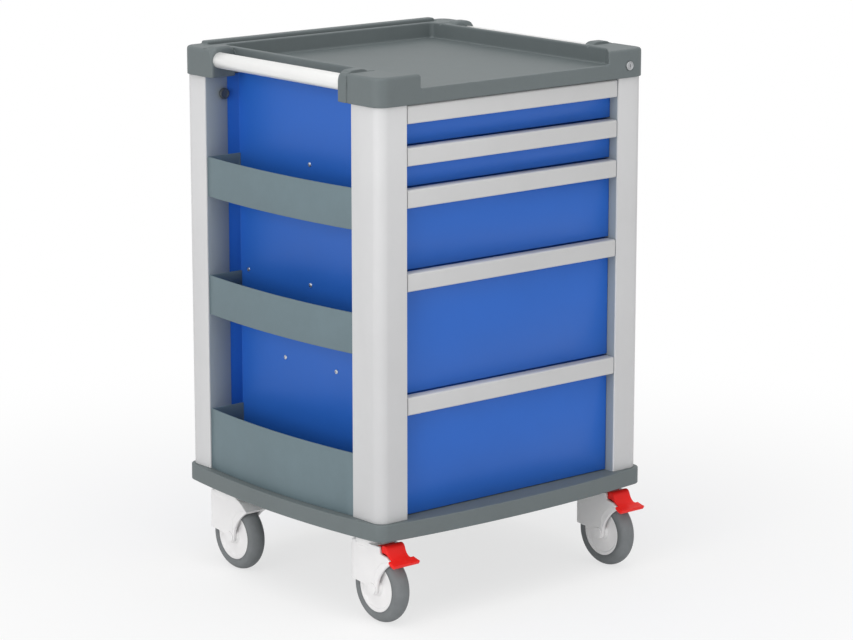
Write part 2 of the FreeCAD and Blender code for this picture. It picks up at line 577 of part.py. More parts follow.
def castor_fork(braked):
    """Moulded housing: a swivel head, two cheeks down to the axle and a guard behind and over the wheel."""
    axle = (CASTOR_TRAIL, WHEEL_RADIUS)
    rear = CASTOR_TRAIL - TIRE_CLEAR - FORK_SKIN
    shoulder = PEDAL_PIVOT[1] + PEDAL_HUB
    boss = HUB_RADIUS
    tip = (CASTOR_TRAIL + WHEEL_RADIUS - 11.5, WHEEL_DIAMETER - 8)
    crown = [side_line((rear, WHEEL_RADIUS + 6), (rear, shoulder - 18)),
             side_arc((rear, shoulder - 18), (rear + 5.3, shoulder - 5.3), (rear + 18, shoulder))]
    if braked:
        nose = [(PEDAL_PIVOT[0] + 7, shoulder), (PEDAL_PIVOT[0] + 9, WHEEL_DIAMETER + 4),
                (PEDAL_PIVOT[0] + 25, WHEEL_DIAMETER + 1), tip]
    else:
        nose = [(PEDAL_PIVOT[0] + 2, shoulder), (CASTOR_TRAIL + 34, WHEEL_DIAMETER + 6), tip]
    path = [(rear + 18, shoulder)] + nose
    top = [side_line(a, b) for a, b in zip(path, path[1:])]
    sweep = side_curve([tip, (CASTOR_TRAIL + 33, WHEEL_DIAMETER - 21), (CASTOR_TRAIL + 18, WHEEL_DIAMETER - 39),
                        (axle[0] + boss, axle[1])])
    under = [side_arc((axle[0] + boss, axle[1]), (axle[0], axle[1] - boss), (axle[0] - boss, axle[1])),
             side_curve([(axle[0] - boss, axle[1]), (-8.0, WHEEL_RADIUS + 5.0), (rear, WHEEL_RADIUS + 6)])]
    body = side_prism(crown + top + [sweep] + under, FORK_HALF)
    plan = box(-FORK_HALF, FORK_HALF, -CASTOR_TRAIL - 80, -rear, 40, BASE_BOTTOM)
    plan = plan.makeFillet(FORK_CORNER, upright_edges(plan, [(-FORK_HALF, -rear), (FORK_HALF, -rear)]))
    body = body.common(plan)
    head = rod(HEAD_RADIUS, (0, 0, PEDAL_PIVOT[1]), (0, 0, HEAD_TOP))
    head = head.makeFillet(2.0, [e for e in level_edges(head, HEAD_TOP)])
    body = body.fuse(head)
    room = rod(TIRE_CLEAR, (-FORK_GAP, -CASTOR_TRAIL, WHEEL_RADIUS), (FORK_GAP, -CASTOR_TRAIL, WHEEL_RADIUS))
    bore = rod(AXLE_RADIUS + 0.05, (-FORK_HALF - 1, -CASTOR_TRAIL, WHEEL_RADIUS),
               (FORK_HALF + 1, -CASTOR_TRAIL, WHEEL_RADIUS))
    kingpin = rod(KINGPIN_RADIUS + KINGPIN_RUN, (0, 0, PEDAL_PIVOT[1] + 3.5), (0, 0, BASE_BOTTOM))
    body = body.cut([room, bore, kingpin])
    if braked:
        u, z = PEDAL_PIVOT
        slot = box(-FORK_GAP, FORK_GAP, -CASTOR_TRAIL - 60, -u + PEDAL_HUB + 1, WHEEL_RADIUS, BASE_BOTTOM)
        deep = FORK_HALF - PEDAL_PIN_SKIN
        pivot = rod(PEDAL_PIN + AXLE_RUN, (-deep, -u, z), (deep, -u, z))
        body = body.cut([slot, pivot])
    return body.removeSplitter()


def castor_rim():
    """Wheel centre: hub, web and seat for the tyre, turned about the axle."""
    hub = FORK_GAP - 0.5
    seat = TYRE_WIDTH / 2 - 0.5
    web = 11.0
    profile = [(AXLE_RADIUS + AXLE_RUN, -hub), (AXLE_RADIUS + AXLE_RUN, hub), (HUB_RADIUS, hub),
               (HUB_RADIUS + 3, web), (RIM_RADIUS - 7, web), (RIM_RADIUS - 4, seat), (RIM_RADIUS, seat),
               (RIM_RADIUS, -seat), (RIM_RADIUS - 4, -seat), (RIM_RADIUS - 7, -web), (HUB_RADIUS + 3, -web),
               (HUB_RADIUS, -hub)]
    return turned([FreeCAD.Vector(x, r, 0) for r, x in profile])


def turned(points):
    """A closed profile in the plane (along the axle, radius), turned about the X axis."""
    wire = Part.makePolygon(points + points[:1])
    return Part.Face(wire).revolve(FreeCAD.Vector(0, 0, 0), X_AXIS, 360)


def castor_tyre():
    half = TYRE_WIDTH / 2
    shoulder = WHEEL_RADIUS - 8
    a = FreeCAD.Vector(-half, RIM_RADIUS, 0)
    b = FreeCAD.Vector(-half, shoulder, 0)
    crown = FreeCAD.Vector(0, WHEEL_RADIUS, 0)
    c = FreeCAD.Vector(half, shoulder, 0)
    d = FreeCAD.Vector(half, RIM_RADIUS, 0)
    edges = [Part.LineSegment(a, b).toShape(), Part.Arc(b, crown, c).toShape(), Part.LineSegment(c, d).toShape(),
             Part.LineSegment(d, a).toShape()]
    return Part.Face(Part.Wire(edges)).revolve(FreeCAD.Vector(0, 0, 0), X_AXIS, 360)


def castor_axle():
    """Axle bolt with a round cap on each side, about the axle's middle."""
    shaft = rod(AXLE_RADIUS, (-FORK_HALF, 0, 0), (FORK_HALF, 0, 0))
    caps = []
    for side in (-1, 1):
        cap = rod(AXLE_CAP, (side * FORK_HALF, 0, 0), (side * (FORK_HALF + 2), 0, 0))
        rim = [e for e in cap.Edges if abs(abs(e.BoundBox.Center.x) - FORK_HALF - 2) < 1e-3]
        caps.append(cap.makeFillet(1.0, rim))
    return shaft.fuse(caps)


def brake_pedal():
    """Foot pedal about the swivel axis: rounded lobe, waist, sloping blade and toe. At rest the brake is on."""
    u, z = PEDAL_PIVOT
    end = PEDAL_REACH
    over = [(u + 10, z + 6.5), (u + 14, z + 9.5), (u + 19, z + 9.8), (u + 24, z + 6), (u + 27, z - 1),
            (u + 32, z - 8), (u + 40, z - 12.5), (end, z - 16)]
    below = [(end - 3.5, z - 22.5), (u + 40, z - 17.5), (u + 27, z - 8), (u + 21, z - 5.3), (u + 10, z - 4.5)]
    lever = [side_line(below[-1], over[0]), side_curve(over), side_line(over[-1], below[0]), side_curve(below)]
    blade = side_prism(lever, PEDAL_HALF)
    wide = side_prism(lever, TOE_HALF)
    toe = wide.common(box(-TOE_HALF, TOE_HALF, -end, -end + 18, 0, BASE_BOTTOM))
    half_hub = FORK_GAP - PEDAL_SIDE_GAP
    pin_half = FORK_HALF - PEDAL_PIN_SKIN - PEDAL_SIDE_GAP
    hub = rod(PEDAL_HUB, (-half_hub, -u, z), (half_hub, -u, z))
    arm = box(-half_hub, half_hub, -u - 12, -u, z - 4, z + 5)
    pin = rod(PEDAL_PIN, (-pin_half, -u, z), (pin_half, -u, z))
    shoe = box(-SHOE_HALF, SHOE_HALF, -u - 23, -u - 12, z - 18, z)
    tyre = rod(WHEEL_RADIUS + SHOE_GAP, (-FORK_HALF, -CASTOR_TRAIL, WHEEL_RADIUS),
               (FORK_HALF, -CASTOR_TRAIL, WHEEL_RADIUS))
    return blade.fuse([toe, hub, arm, pin, shoe]).cut(tyre).removeSplitter()


def placed(shape, x, y, z=0.0):
    moved = shape.copy()
    moved.translate(FreeCAD.Vector(x, y, z))
    return moved


# ---- all the nodes ------------------------------------------------------------------------------------------
def make_structure():
    save("base_platform", base_platform())
    front_right = column(1, -1, FRONT_COLUMN)
    rear_right = column(1, 1, REAR_COLUMN)
    save("front_columns", front_right, mirrored(front_right))
    save("rear_columns", rear_right, mirrored(rear_right))
    panel = side_panel()
    save("side_panels", panel, mirrored(panel))
    save("back_panel", back_panel())
    save("panel_screws", *panel_screws())
    save("column_knob", column_knob())
    save("worktop", worktop())
    tube = handle_tube()
    save("handle_tubes", tube, mirrored(tube))
    for name, line in zip(("bin_top", "bin_middle"), BIN_TOP_UNITS):
        save(name, side_bin(BASE_TOP + line * DRAWER_UNIT - BIN_HEIGHT, BIN_HEIGHT))
    save("bin_bottom", side_bin(BASE_TOP, LOW_BIN_HEIGHT))


def make_drawers():
    fixed = []
    for number, (low, high) in enumerate(unit_spans(), start=1):
        save(f"drawer_{number}_rail", drawer_rail(low, high))
        save(f"drawer_{number}_front", drawer_front(low, high))
        save(f"drawer_{number}_tray", drawer_tray(low, high))
        outer, middle, inner = slide_members(low)
        fixed += outer
        save(f"drawer_{number}_slide_middle", *middle)
        save(f"drawer_{number}_slide_inner", *inner)
    save("slide_outer_members", *fixed)


def make_lock():
    save("lock_housing", lock_housing())
    save("lock_barrel", lock_barrel())
    save("lock_bar", lock_bar())


def make_castors():
    places = {"front_left": (-SWIVEL_X, -SWIVEL_Y), "front_right": (SWIVEL_X, -SWIVEL_Y),
              "rear_left": (-SWIVEL_X, SWIVEL_Y), "rear_right": (SWIVEL_X, SWIVEL_Y)}
    save("castor_mounts", *[placed(castor_mount(), x, y) for x, y in places.values()])
    for name, (x, y) in places.items():
        braked = name.startswith("front")
        save(f"castor_{name}_fork", placed(castor_fork(braked), x, y))
        save(f"castor_{name}_axle", placed(castor_axle(), x, y - CASTOR_TRAIL, WHEEL_RADIUS))
        save(f"castor_{name}_rim", placed(castor_rim(), x, y - CASTOR_TRAIL, WHEEL_RADIUS))
        save(f"castor_{name}_tyre", placed(castor_tyre(), x, y - CASTOR_TRAIL, WHEEL_RADIUS))
        if braked:
            save(f"brake_pedal_{name[6:]}", placed(brake_pedal(), x, y))


def main():
    os.makedirs("parts", exist_ok=True)
    make_structure()
    make_drawers()
    make_lock()
    make_castors()


main()
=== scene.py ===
import json
import math

import bpy
from bpy.props import FloatProperty, FloatVectorProperty, PointerProperty
from mathutils import Euler, Matrix, Vector


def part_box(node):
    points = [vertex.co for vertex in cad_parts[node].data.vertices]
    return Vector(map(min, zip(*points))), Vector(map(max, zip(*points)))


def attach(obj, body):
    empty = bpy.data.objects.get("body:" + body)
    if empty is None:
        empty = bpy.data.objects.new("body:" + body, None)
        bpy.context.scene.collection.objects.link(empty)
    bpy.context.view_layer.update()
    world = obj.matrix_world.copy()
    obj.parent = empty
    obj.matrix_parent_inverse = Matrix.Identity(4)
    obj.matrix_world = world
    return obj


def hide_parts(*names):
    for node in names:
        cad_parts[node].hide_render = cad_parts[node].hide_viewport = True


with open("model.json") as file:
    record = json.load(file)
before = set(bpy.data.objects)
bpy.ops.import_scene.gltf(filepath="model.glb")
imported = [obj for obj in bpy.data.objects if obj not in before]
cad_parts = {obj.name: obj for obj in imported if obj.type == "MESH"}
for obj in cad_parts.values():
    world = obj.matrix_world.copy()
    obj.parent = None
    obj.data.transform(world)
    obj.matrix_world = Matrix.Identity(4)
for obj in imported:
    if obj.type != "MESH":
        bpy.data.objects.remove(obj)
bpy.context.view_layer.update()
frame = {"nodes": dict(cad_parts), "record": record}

bl_info = {
    "name": "Ward drawer cart",
    "version": (1, 0, 0),
    "blender": (4, 5, 0),
    "location": "View3D > Sidebar > Ward Cart",
    "description": "Finishes a hospital drawer cart: mouldings, castors, hardware, finishes and a studio",
    "category": "Object",
}

CORNERS = ("front_left", "front_right", "rear_left", "rear_right")
DRAWERS = range(1, 6)
BINS = ("bin_top", "bin_middle", "bin_bottom")

WELD = 1e-5            # vertices closer than this are one
NEAR = 1e-5            # how close to a plane a chosen edge lies
SHARP = math.radians(40)   # edges sharper than this are eased
PLAIN, ROUND = 35, 60  # shading angles of pressed pieces and of mouldings, in degrees
SKIN = 0.001           # how far a cutter stands past the surface that it cuts

HOOD_SEAT = 0.044      # from a handle tube's end to the open end of its hood
HOOD_LONG = 0.024
HOOD_WIDE = 0.0535
HOOD_CUT = 0.008       # how much of each hood's end is modelled again
HOOD_ARCH = 0.019, 0.017   # radii of a hood's outer and inner shoulders
HOOD_LIP = 0.005       # rounding of a hood's open end
CREASE_WIDE = 0.0038
CREASE_DEEP = 0.0036
CREASE_SUNK = 0.0076   # below the top of the worktop
CREASE_REACH = 0.066   # from the worktop's side to where a crease runs out
TOP_VOXEL_KEPT = 0.16  # share of the remeshed worktop's triangles that stay

# painted shade: thin dark strips on the columns' inner faces stand for the shade that falls in the drawer and
# bin recesses
SHADE_STRIP_THICK = 0.0004
SHADE_STRIP_EDGE = 0.0006
TRAY_CLEAR = 0.0015    # from a drawer front's side to the painted shade strip beside it

SLOT_DEPTH = 0.45      # where a screw's cross slot starts, in head heights
SCREW_TURN = 9         # turns each screw a little differently, in radians per metre

# ahead of the axle and above it, along the raised line on a castor housing
RIDGE = ((0.040, 0.055), (0.030, 0.053), (0.018, 0.046), (0.010, 0.034), (0.008, 0.022), (0.009, 0.013))
RIDGE_RADIUS = 0.0007

# energy in watts, size and place of each soft lamp
LAMPS = (("top_panel", 98.0, 4.5, (-1.3, -0.9, 5.2)),
         ("left_panel", 88.0, 3.0, (-5.0, -1.2, 1.8)),
         ("front_panel", 56.0, 4.0, (0.6, -6.0, 1.6)))
LAMP_AIM = Vector((0, 0, 0.5))
ROOM_LIGHT = 0.50      # strength of the white room on the cart


# ---- settings ------------------------------------------------------------------------------------
def colour(name, description, value):
    return FloatVectorProperty(name=name, description=description, subtype="COLOR",
                               default=value, min=0, max=1)


def length(name, description, value):
    return FloatProperty(name=name, description=description, subtype="DISTANCE", unit="LENGTH",
                         default=value)


class CartColours(bpy.types.PropertyGroup):
    plastic: colour("Grey mouldings", "Worktop and base", (0.134, 0.158, 0.162))
    bins: colour("Bins", "Side bins", (0.134, 0.187, 0.209))
    columns: colour("Columns", "Coated column extrusions", (0.63, 0.63, 0.635))
    rails: colour("Rails", "Grip rails of the drawers", (0.615, 0.615, 0.615))
    sheet: colour("Blue sheet", "Drawer fronts and panels", (0.022, 0.135, 0.56))
    tray: colour("Tray sheet", "Insides of the drawers", (0.60, 0.61, 0.63))
    castor: colour("Castor housings", "Off-white moulding", (0.87, 0.86, 0.86))
    tyre: colour("Tyres", "Grey rubber", (0.185, 0.197, 0.203))
    pedal: colour("Brake pedals", "Red moulding", (0.90, 0.018, 0.014))
    knob: colour("Knob", "Black moulding", (0.060, 0.068, 0.072))
    handle: colour("Handle tubes", "Satin silver", (0.86, 0.86, 0.85))
    # painted shade: this dark grey stands for the shade on the columns' inner faces, not for a part's own
    # colour
    painted_shade_colour: colour("Painted shade strips", "Strips on the columns' inner faces", (0.30, 0.34, 0.37))


class CartSizes(bpy.types.PropertyGroup):
    moulding_voxel: length("Moulding voxel", "Mesh size of the softened worktop", 0.0013)
    castor_voxel: length("Castor voxel", "Mesh size of the softened castor parts", 0.0012)
    sheet_edge: length("Sheet edge", "Rounding of folded sheet edges", 0.0005)
    extrusion_edge: length("Extrusion edge", "Rounding of extruded edges", 0.0009)
    bin_edge: length("Bin edge", "Rounding of the bins' edges", 0.0011)
    screw_radius: length("Screw head", "Radius of a screw head", 0.0040)
    screw_height: length("Screw height", "How far a screw head stands out", 0.0016)


class StudioSettings(bpy.types.PropertyGroup):
    lens: FloatProperty(name="Lens", description="Focal length in millimetres", default=133.3)
    camera_place: FloatVectorProperty(
        name="Camera", description="Where the camera stands", subtype="TRANSLATION", unit="LENGTH",
        default=(-3.5291, -4.23685, 1.6822))
    camera_pitch: FloatProperty(name="Pitch", description="Downward tilt", subtype="ANGLE", unit="ROTATION",
                                default=math.radians(12.56))
    camera_yaw: FloatProperty(name="Yaw", description="Turn away from straight on", subtype="ANGLE",
                              unit="ROTATION", default=math.radians(39.95))
    floor: colour("Floor", "Pale floor", (0.93, 0.93, 0.93))


# ---- shader maths --------------------------------------------------------------------------------
class Value:
    """What comes out of a shader node. Sums and products of values add their Math nodes."""

    def __init__(self, finish, socket):
        self.finish = finish
        self.socket = socket

    def maths(self, operation, *terms):
        return self.finish.node("ShaderNodeMath", {"operation": operation}, dict(enumerate(terms)))

    def __add__(self, other):
        return self.maths("ADD", self, other)

    def __radd__(self, other):
        return self.maths("ADD", other, self)

    def __sub__(self, other):
        return self.maths("SUBTRACT", self, other)

    def __rsub__(self, other):
        return self.maths("SUBTRACT", other, self)

    def __mul__(self, other):
        return self.maths("MULTIPLY", self, other)

    def __rmul__(self, other):
        return self.maths("MULTIPLY", other, self)


class Finish:
    """A material under construction, with one method for every node."""

    def __init__(self, name, **shader):
        self.material = bpy.data.materials.new(name)
        self.material.use_nodes = True
        self.tree = self.material.node_tree
        self.shader = self.tree.nodes["Principled BSDF"]
        self.set(**shader)
        self.place = self.node("ShaderNodeTexCoord", output="Object")

    def node(self, kind, settings=None, inputs=None, output=0):
        made = self.tree.nodes.new(kind)
        for key, value in (settings or {}).items():
            if key == "stops":
                self.set_stops(made.color_ramp, value)
            else:
                setattr(made, key, value)
        for key, value in (inputs or {}).items():
            self.join(value, made.inputs[key])
        return Value(self, made.outputs[output])

    def join(self, value, socket):
        if isinstance(value, Value):
            self.tree.links.new(value.socket, socket)
        else:
            socket.default_value = value

    def set_stops(self, ramp, stops):
        while len(ramp.elements) < len(stops):
            ramp.elements.new(0.5)
        for element, (position, shade) in zip(ramp.elements, stops):
            element.position = position
            element.color = (*shade, 1.0) if isinstance(shade, tuple) else (shade, shade, shade, 1.0)

    def set(self, **shader):
        """Sets or links sockets of the surface shader, written with underscores for spaces."""
        for key, value in shader.items():
            self.join(value, self.shader.inputs[key.replace("_", " ")])

    def noise(self, scale, detail=2.0, roughness=0.5, at=None):
        inputs = {"Vector": at or self.place, "Scale": scale, "Detail": detail, "Roughness": roughness}
        return self.node("ShaderNodeTexNoise", None, inputs)

    def stretched(self, scale):
        return self.node("ShaderNodeMapping", {"vector_type": "TEXTURE"},
                         {"Vector": self.place, "Scale": scale})

    def ramp(self, factor, *stops):
        return self.node("ShaderNodeValToRGB", {"stops": stops}, {"Fac": factor})

    def mix(self, factor, low, high):
        return self.node("ShaderNodeMix", {"data_type": "RGBA"}, {0: factor, 6: low, 7: high}, output=2)

    def bump(self, height, depth, strength=1.0, under=None):
        inputs = {"Height": height, "Distance": depth, "Strength": strength}
        if under:
            inputs["Normal"] = under
        return self.node("ShaderNodeBump", None, inputs)


def shade(rgb, factor):
    return (*[min(1.0, c * factor) for c in rgb], 1.0)


def grained_plastic(name, rgb, grain=1.0):
    """Moulded plastic with a fine leather grain, faint flow clouds and rubbed, glossier patches."""
    f = Finish(name, Specular_IOR_Level=0.42)
    cells = f.node("ShaderNodeTexVoronoi", {"feature": "SMOOTH_F1"},
                   {"Vector": f.place, "Scale": 620.0, "Smoothness": 0.6})
    fine = f.noise(1500.0, 3.0, 0.6)
    clouds = f.noise(5.0, 5.0, 0.6)
    dust = f.noise(42.0, 6.0, 0.7)
    tone = f.ramp(clouds * 0.65 + dust * 0.35, (0.32, shade(rgb, 0.93)[:3]), (0.68, shade(rgb, 1.07)[:3]))
    speck = f.ramp(f.noise(900.0, 1.0), (0.58, 0.0), (0.74, 1.0))
    f.set(Base_Color=f.mix(speck * 0.14, tone, shade(rgb, 1.5)))
    f.set(Roughness=0.46 + clouds * 0.10 + fine * 0.08)
    f.set(Normal=f.bump(cells * 0.7 + fine * 0.4, 0.00016 * grain, 0.5))
    return f.material


def powder_coat(name, rgb, rough=0.36, peel=1.0):
    """Baked coating on metal: orange peel, tiny tone drift and faint hand marks in the gloss."""
    f = Finish(name, Specular_IOR_Level=0.28, Coat_Roughness=0.22)
    peel_height = f.noise(520.0, 2.0, 0.45)
    drift = f.noise(2.2, 3.0)
    marks = f.noise(16.0, 6.0, 0.65)
    grit = f.ramp(f.noise(1400.0, 1.0), (0.62, 0.0), (0.78, 1.0))
    tone = f.ramp(drift * 0.7 + marks * 0.3, (0.3, shade(rgb, 0.95)[:3]), (0.7, shade(rgb, 1.05)[:3]))
    f.set(Base_Color=f.mix(grit * 0.10, tone, shade(rgb, 1.35)))
    f.set(Roughness=rough - 0.05 + marks * 0.12)
    f.set(Coat_Weight=0.02 + marks * 0.06)
    f.set(Normal=f.bump(peel_height, 0.00012 * peel, 0.35))
    return f.material


def drawn_metal(name, rgb, along, rough=0.28, metallic=1.0):
    """Metal with fine drawing lines along one direction and faint smears."""
    f = Finish(name, Metallic=metallic)
    lines = f.noise(1.0, 3.0, 0.6, f.stretched(along))
    smears = f.noise(24.0, 5.0, 0.6)
    f.set(Base_Color=f.mix(lines * 0.5 + smears * 0.3, shade(rgb, 0.90), shade(rgb, 1.05)))
    f.set(Roughness=rough - 0.06 + lines * 0.10 + smears * 0.06)
    f.set(Normal=f.bump(lines, 0.00003, 0.4))
    return f.material


def plated_steel(name, rgb, rough=0.32):
    """Zinc-plated steel with crystalline blotches."""
    f = Finish(name, Metallic=1.0)
    cells = f.node("ShaderNodeTexVoronoi", {"feature": "F1"}, {"Vector": f.place, "Scale": 160.0}, "Color")
    patch = f.node("ShaderNodeSeparateColor", None, {"Color": cells}, "Red")
    haze = f.noise(60.0, 5.0, 0.6)
    f.set(Base_Color=f.mix(patch * 0.5 + haze * 0.5, shade(rgb, 0.82), shade(rgb, 1.12)))
    f.set(Roughness=rough + patch * 0.08 + haze * 0.08)
    f.set(Normal=f.bump(haze, 0.00004, 0.4))
    return f.material


def tyre_rubber(name, rgb):
    """Grey tyre rubber: moulded skin, scuffed tread and dusty patches."""
    f = Finish(name, Specular_IOR_Level=0.3)
    skin = f.noise(1100.0, 3.0, 0.6)
    scuff = f.noise(70.0, 6.0, 0.7)
    dust = f.noise(18.0, 4.0, 0.6)
    tone = f.ramp(dust * 0.5 + scuff * 0.5, (0.30, shade(rgb, 0.86)[:3]), (0.72, shade(rgb, 1.16)[:3]))
    f.set(Base_Color=tone)
    f.set(Roughness=0.55 + scuff * 0.16)
    f.set(Normal=f.bump(skin * 0.6 + scuff * 0.4, 0.00018, 0.5))
    return f.material


def smooth_plastic(name, rgb, rough=0.3, coat=0.15, gloss=0.5):
    """Glossy injection moulding with faint sink ripples and fine scratches."""
    f = Finish(name, Coat_Weight=coat, Coat_Roughness=0.12, Specular_IOR_Level=gloss)
    ripple = f.noise(90.0, 2.0)
    scratch = f.noise(1.0, 4.0, 0.7, f.stretched((0.0012, 0.02, 0.004)))
    haze = f.noise(30.0, 5.0, 0.6)
    f.set(Base_Color=f.mix(haze, shade(rgb, 0.95), shade(rgb, 1.04)))
    f.set(Roughness=rough - 0.04 + scratch * 0.08 + haze * 0.06)
    f.set(Normal=f.bump(ripple * 0.6 + scratch * 0.4, 0.00006, 0.35))
    return f.material


def make_finishes():
    """One material for each slot of the record."""
    c = bpy.context.scene.cart_colours
    return {
        "base_plastic": grained_plastic("grey_moulding", c.plastic),
        "bin_plastic": grained_plastic("bin_moulding", c.bins, 0.5),
        "column_aluminium": powder_coat("column_coating", c.columns, 0.42),
        "rail_aluminium": powder_coat("rail_coating", c.rails, 0.34),
        "blue_sheet": powder_coat("blue_coating", c.sheet, 0.40),
        "tray_sheet": powder_coat("tray_coating", c.tray, 0.45),
        "handle_metal": drawn_metal("handle_aluminium", c.handle, (0.0009, 0.06, 0.0009), 0.34, 0.35),
        "slide_steel": drawn_metal("slide_steel", (0.62, 0.63, 0.65), (0.0008, 0.05, 0.0008), 0.34),
        "screw_steel": plated_steel("screw_steel", (0.66, 0.68, 0.72), 0.26),
        "zinc_steel": plated_steel("zinc_steel", (0.60, 0.61, 0.63)),
        "lock_metal": drawn_metal("lock_nickel", (0.42, 0.43, 0.44), (0.0006, 0.0006, 0.01), 0.34),
        "castor_plastic": smooth_plastic("castor_moulding", c.castor, 0.36),
        "pedal_plastic": smooth_plastic("pedal_moulding", c.pedal, 0.42, 0.03, 0.2),
        "tyre_rubber": tyre_rubber("tyre_rubber", c.tyre),
        "dark_plastic": smooth_plastic("knob_moulding", c.knob, 0.38, 0.1),
        # painted shade: the strips on the columns' inner faces get this dark coating to stand for shade
        "painted_column_shade": powder_coat("painted_shade_coating", c.painted_shade_colour, 0.40),
    }


FINISHES = {}
SLOT_OF_NODE = {part["node"]: part["material_slot"] for part in frame["record"]["subparts"]}
BODIES = frame["record"]["behaviour"]["bodies"]
BODY_OF_NODE = {node: body for body, nodes in BODIES.items() for node in nodes}


def paint(obj, slot):
    if not FINISHES:
        FINISHES.update(make_finishes())
    obj.data.materials.clear()
    obj.data.materials.append(FINISHES[slot])


# ---- modelling by hand ---------------------------------------------------------------------------
def deselect_all():
    if bpy.context.object and bpy.context.object.mode != "OBJECT":
        bpy.ops.object.mode_set(mode="OBJECT")
    bpy.ops.object.select_all(action="DESELECT")


def pick_object(obj):
    deselect_all()
    obj.hide_viewport = False
    obj.select_set(True)
    bpy.context.view_layer.objects.active = obj


def add_modifier(obj, kind, apply=True, **settings):
    pick_object(obj)
    made = obj.modifiers.new(kind.lower(), kind)
    for key, value in settings.items():
        setattr(made, key, value)
    if apply:
        bpy.ops.object.modifier_apply(modifier=made.name)
    return made


def smooth(obj, degrees=PLAIN):
    pick_object(obj)
    bpy.ops.object.shade_smooth_by_angle(angle=math.radians(degrees))


def node_copy(name, node):
    """A merged copy of a CAD node, ready to be shaped."""
    deselect_all()
    source = frame["nodes"][node]
    made = bpy.data.objects.new(name, source.data.copy())
    bpy.context.scene.collection.objects.link(made)
    pick_object(made)
    bpy.ops.object.mode_set(mode="EDIT")
    bpy.ops.mesh.select_all(action="SELECT")
    bpy.ops.mesh.remove_doubles(threshold=WELD)
    bpy.ops.mesh.normals_make_consistent(inside=False)
    bpy.ops.object.mode_set(mode="OBJECT")
    return made


def added(kind, name, **settings):
    """A new primitive on its own, in object mode, with its place and size already in its mesh."""
    deselect_all()
    getattr(bpy.ops.mesh, f"primitive_{kind}_add")(**settings)
    made = bpy.context.object
    made.name = name
    bpy.ops.object.transform_apply(location=True, rotation=True, scale=True)
    return made


def block(name, low, high):
    """A box between two corners."""
    low, high = Vector(low), Vector(high)
    return added("cube", name, size=1.0, location=(low + high) / 2, scale=high - low)


def choose(obj, kind, test):
    """Opens a piece for editing with only those faces or edges selected that pass the test."""
    pick_object(obj)
    bpy.ops.object.mode_set(mode="EDIT")
    bpy.ops.mesh.select_mode(type=kind)
    bpy.ops.mesh.select_all(action="DESELECT")
    bpy.ops.object.mode_set(mode="OBJECT")
    mesh = obj.data
    if kind == "FACE":
        for face in mesh.polygons:
            face.select = test(face.center, face.normal)
    else:
        for edge in mesh.edges:
            a, b = [mesh.vertices[i].co for i in edge.vertices]
            edge.select = test((a + b) / 2, b - a)
    bpy.ops.object.mode_set(mode="EDIT")


def done_editing():
    bpy.ops.object.mode_set(mode="OBJECT")


def copied(obj, name, matrix=None):
    """A copy with its own mesh, moved or turned in that mesh."""
    made = bpy.data.objects.new(name, obj.data.copy())
    bpy.context.scene.collection.objects.link(made)
    if matrix:
        made.data.transform(matrix)
        if matrix.determinant() < 0:
            made.data.flip_normals()
    return made


def joined(pieces, name):
    deselect_all()
    for piece in pieces:
        piece.select_set(True)
    bpy.context.view_layer.objects.active = pieces[0]
    bpy.ops.object.join()
    pieces[0].name = name
    return pieces[0]


def cut(obj, cutter):
    """Takes a cutter's shape out of a piece and removes the cutter."""
    add_modifier(obj, "BOOLEAN", operation="DIFFERENCE", object=cutter, solver="EXACT")
    bpy.data.objects.remove(cutter)


def islands(node):
    """Middle of each separate solid of a CAD node that is made of small, well-spaced solids."""
    groups = []
    for vertex in frame["nodes"][node].data.vertices:
        near = next((g for g in groups if (g[0] - vertex.co).length < 0.012), None)
        if near is None:
            groups.append([vertex.co.copy(), vertex.co.copy(), vertex.co.copy()])
        else:
            near[1] = Vector(map(min, near[1], vertex.co))
            near[2] = Vector(map(max, near[2], vertex.co))
    return [(low + high) / 2 for _, low, high in groups]


def soften(obj, voxel, rounds, keep=0.5):
    """Remeshes a moulding and relaxes it, so that its edges flow into each other."""
    add_modifier(obj, "REMESH", mode="VOXEL", voxel_size=voxel)
    add_modifier(obj, "SMOOTH", factor=0.5, iterations=rounds)
    add_modifier(obj, "DECIMATE", decimate_type="COLLAPSE", ratio=keep)


def seat(obj, node):
    """Gives a finished piece the body and finish of the CAD node that it stands for."""
    paint(obj, SLOT_OF_NODE[node])
    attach(obj, BODY_OF_NODE[node])
    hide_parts(node)


def finish_node(node, edge=0.0, degrees=PLAIN):
    """A CAD node whose shape is right: welded, with eased edges and its own finish."""
    obj = frame["nodes"][node]
    paint(obj, SLOT_OF_NODE[node])
    add_modifier(obj, "WELD", apply=False, merge_threshold=WELD)
    if edge:
        add_modifier(obj, "BEVEL", apply=False, width=edge, segments=2, limit_method="ANGLE",
                     angle_limit=SHARP, harden_normals=True)
    smooth(obj, degrees)


